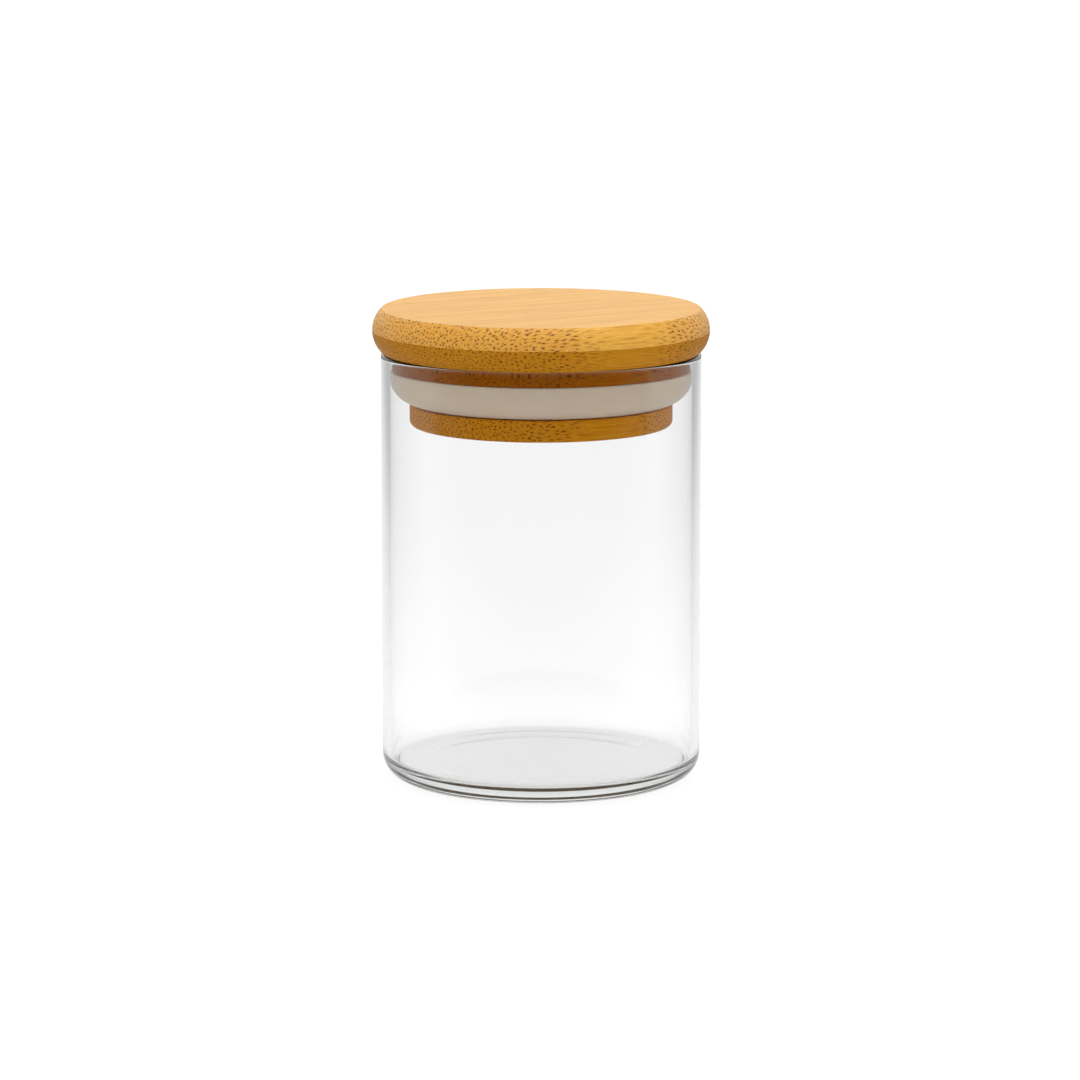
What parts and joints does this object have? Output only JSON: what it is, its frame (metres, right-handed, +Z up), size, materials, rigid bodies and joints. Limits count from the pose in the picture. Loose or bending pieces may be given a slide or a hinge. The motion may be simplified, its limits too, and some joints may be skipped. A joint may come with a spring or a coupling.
{
  "type": "lidded glass canister",
  "caption": "Straight clear glass storage jar with a turned bamboo lid whose plug carries a rounded silicone sealing ring.",
  "frame": {"origin": "centre of the base, on the surface that the jar stands on", "axes": "+Z up along the jar's axis, +X along the grain of the bamboo lid at rest"},
  "size_m": [0.0684, 0.0684, 0.0963],
  "materials": {
    "glass": "clear blown borosilicate, fire-polished rim",
    "bamboo": "laminated bamboo, turned and clear lacquered",
    "silicone": "moulded food-grade silicone, satin, warm grey"
  },
  "bodies": {
    "jar": {"glass_jar": "glass"},
    "seal": {"silicone_seal": "silicone"},
    "lid": {"cap_top_strip_1": "bamboo", "cap_top_strip_2": "bamboo", "cap_top_strip_3": "bamboo", "cap_top_strip_4": "bamboo", "cap_lower_strip_1": "bamboo", "cap_lower_strip_2": "bamboo", "cap_lower_strip_3": "bamboo", "cap_lower_strip_4": "bamboo", "cap_lower_strip_5": "bamboo", "collar_strip_1": "bamboo", "collar_strip_2": "bamboo", "collar_strip_3": "bamboo", "collar_strip_4": "bamboo", "foot_strip_1": "bamboo", "foot_strip_2": "bamboo", "foot_strip_3": "bamboo"}
  },
  "joints": [
    {"name": "lid_lift", "type": "slide", "parent": "jar", "child": "seal", "axis": [0, 0, 1], "range_m": [0, 0.08]},
    {"name": "lid_turn", "type": "hinge", "parent": "seal", "child": "lid", "pos_m": [0, 0, 0], "axis": [0, 0, 1], "continuous": true}
  ]
}
